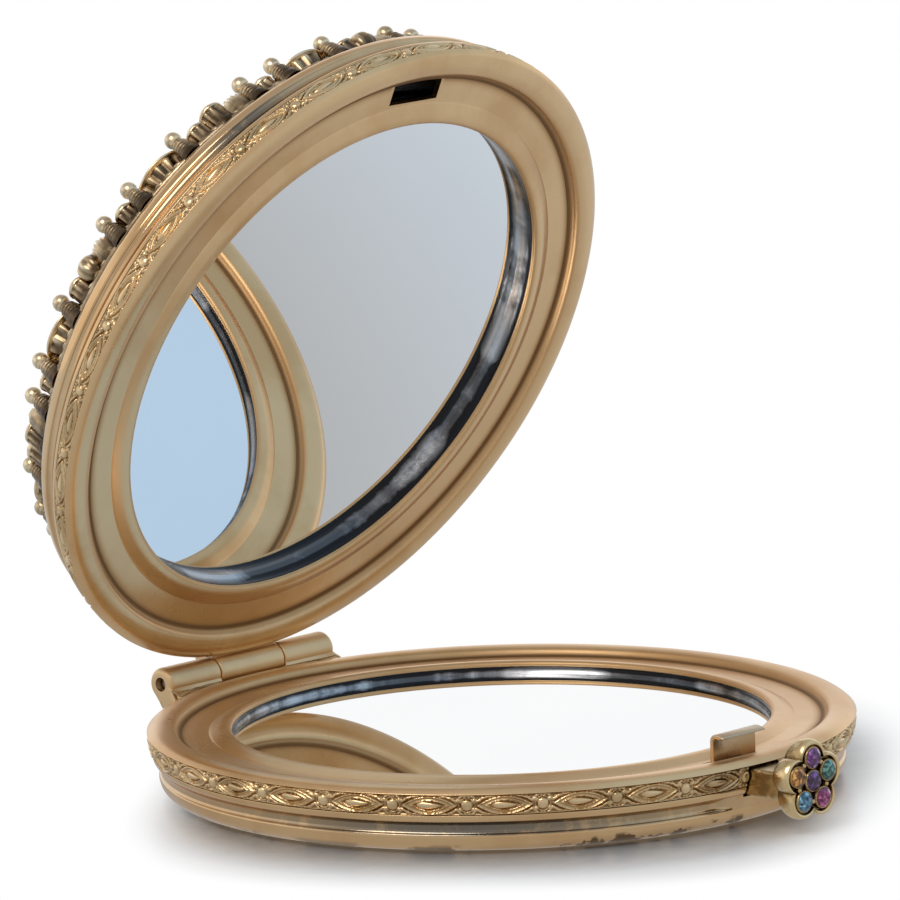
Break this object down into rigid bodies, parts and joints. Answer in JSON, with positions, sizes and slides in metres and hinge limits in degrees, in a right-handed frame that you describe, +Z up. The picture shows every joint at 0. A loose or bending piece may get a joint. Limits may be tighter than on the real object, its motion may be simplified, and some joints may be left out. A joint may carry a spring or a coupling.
{
  "type": "compact mirror",
  "caption": "Round hinged pocket compact with a mirror in each half, an embossed rim, a push-button latch with a jewelled flower and a stone-set casting on the lid.",
  "frame": {"origin": "centre of the flat underside of the base, on the surface it stands on", "axes": "+Z up, -Y to the latch and the user, +Y to the hinge, +X along the hinge to the user's right"},
  "size_m": [0.07, 0.0861, 0.0731],
  "materials": {
    "satin_gold": "satin gold plate, lightly worn",
    "embossed_gold": "embossed gold plate, dark in the recesses",
    "antique_gold": "antiqued dark gold casting with rubbed highlights",
    "nickel": "bright nickel plate",
    "steel": "plain steel",
    "mirror_glass": "silvered glass",
    "backing_felt": "black felt over card",
    "amethyst": "faceted foiled glass",
    "violet": "faceted foiled glass",
    "topaz": "faceted foiled glass",
    "aquamarine": "faceted foiled glass",
    "ruby": "faceted foiled glass",
    "emerald": "faceted foiled glass",
    "crystal": "faceted foiled glass"
  },
  "bodies": {
    "base": {"base_shell": "satin_gold", "base_rim_band": "embossed_gold", "base_inner_frame": "satin_gold", "base_mirror_ring": "nickel", "base_mirror": "mirror_glass", "base_mirror_backing": "backing_felt", "hinge_knuckle_left": "satin_gold", "hinge_knuckle_right": "satin_gold", "hinge_pin": "steel", "latch_guide": "steel", "latch_spring": "steel"},
    "lid": {"lid_shell": "satin_gold", "lid_rim_band": "embossed_gold", "lid_inner_frame": "satin_gold", "lid_mirror_ring": "nickel", "lid_mirror": "mirror_glass", "lid_mirror_backing": "backing_felt", "hinge_knuckle_center": "satin_gold", "lid_ornament": "antique_gold", "lid_stone_center": "amethyst", "lid_stone_inner_1": "violet", "lid_stone_inner_2": "crystal", "lid_stone_inner_3": "violet", "lid_stone_inner_4": "crystal", "lid_stone_inner_5": "violet", "lid_stone_inner_6": "crystal", "lid_stone_inner_7": "violet", "lid_stone_inner_8": "crystal", "lid_stone_outer_1": "topaz", "lid_stone_outer_2": "aquamarine", "lid_stone_outer_3": "amethyst", "lid_stone_outer_4": "emerald", "lid_stone_outer_5": "ruby", "lid_stone_outer_6": "topaz", "lid_stone_outer_7": "aquamarine", "lid_stone_outer_8": "amethyst", "lid_stone_outer_9": "emerald", "lid_stone_outer_10": "ruby", "lid_stone_small_1": "crystal", "lid_stone_small_2": "crystal", "lid_stone_small_3": "crystal", "lid_stone_small_4": "crystal", "lid_stone_small_5": "crystal", "lid_stone_small_6": "crystal", "lid_stone_small_7": "crystal", "lid_stone_small_8": "crystal", "lid_stone_small_9": "crystal", "lid_stone_small_10": "crystal"},
    "latch": {"latch_slider": "satin_gold", "flower_button": "satin_gold", "button_stone_center": "amethyst", "button_stone_top": "violet", "button_stone_left": "topaz", "button_stone_lower_left": "aquamarine", "button_stone_lower_right": "ruby", "button_stone_right": "emerald"}
  },
  "joints": [
    {"name": "lid_hinge", "type": "hinge", "parent": "base", "child": "lid", "pos_m": [0, 0.0362, 0.00714], "axis": [-1, 0, 0], "range_deg": [-65, 55]},
    {"name": "latch_slide", "type": "slide", "parent": "base", "child": "latch", "axis": [0, 1, 0], "range_m": [0, 0.0008], "stiffness_N_per_m": 300, "springref_m": -0.002, "deforming": ["latch_spring"]}
  ]
}
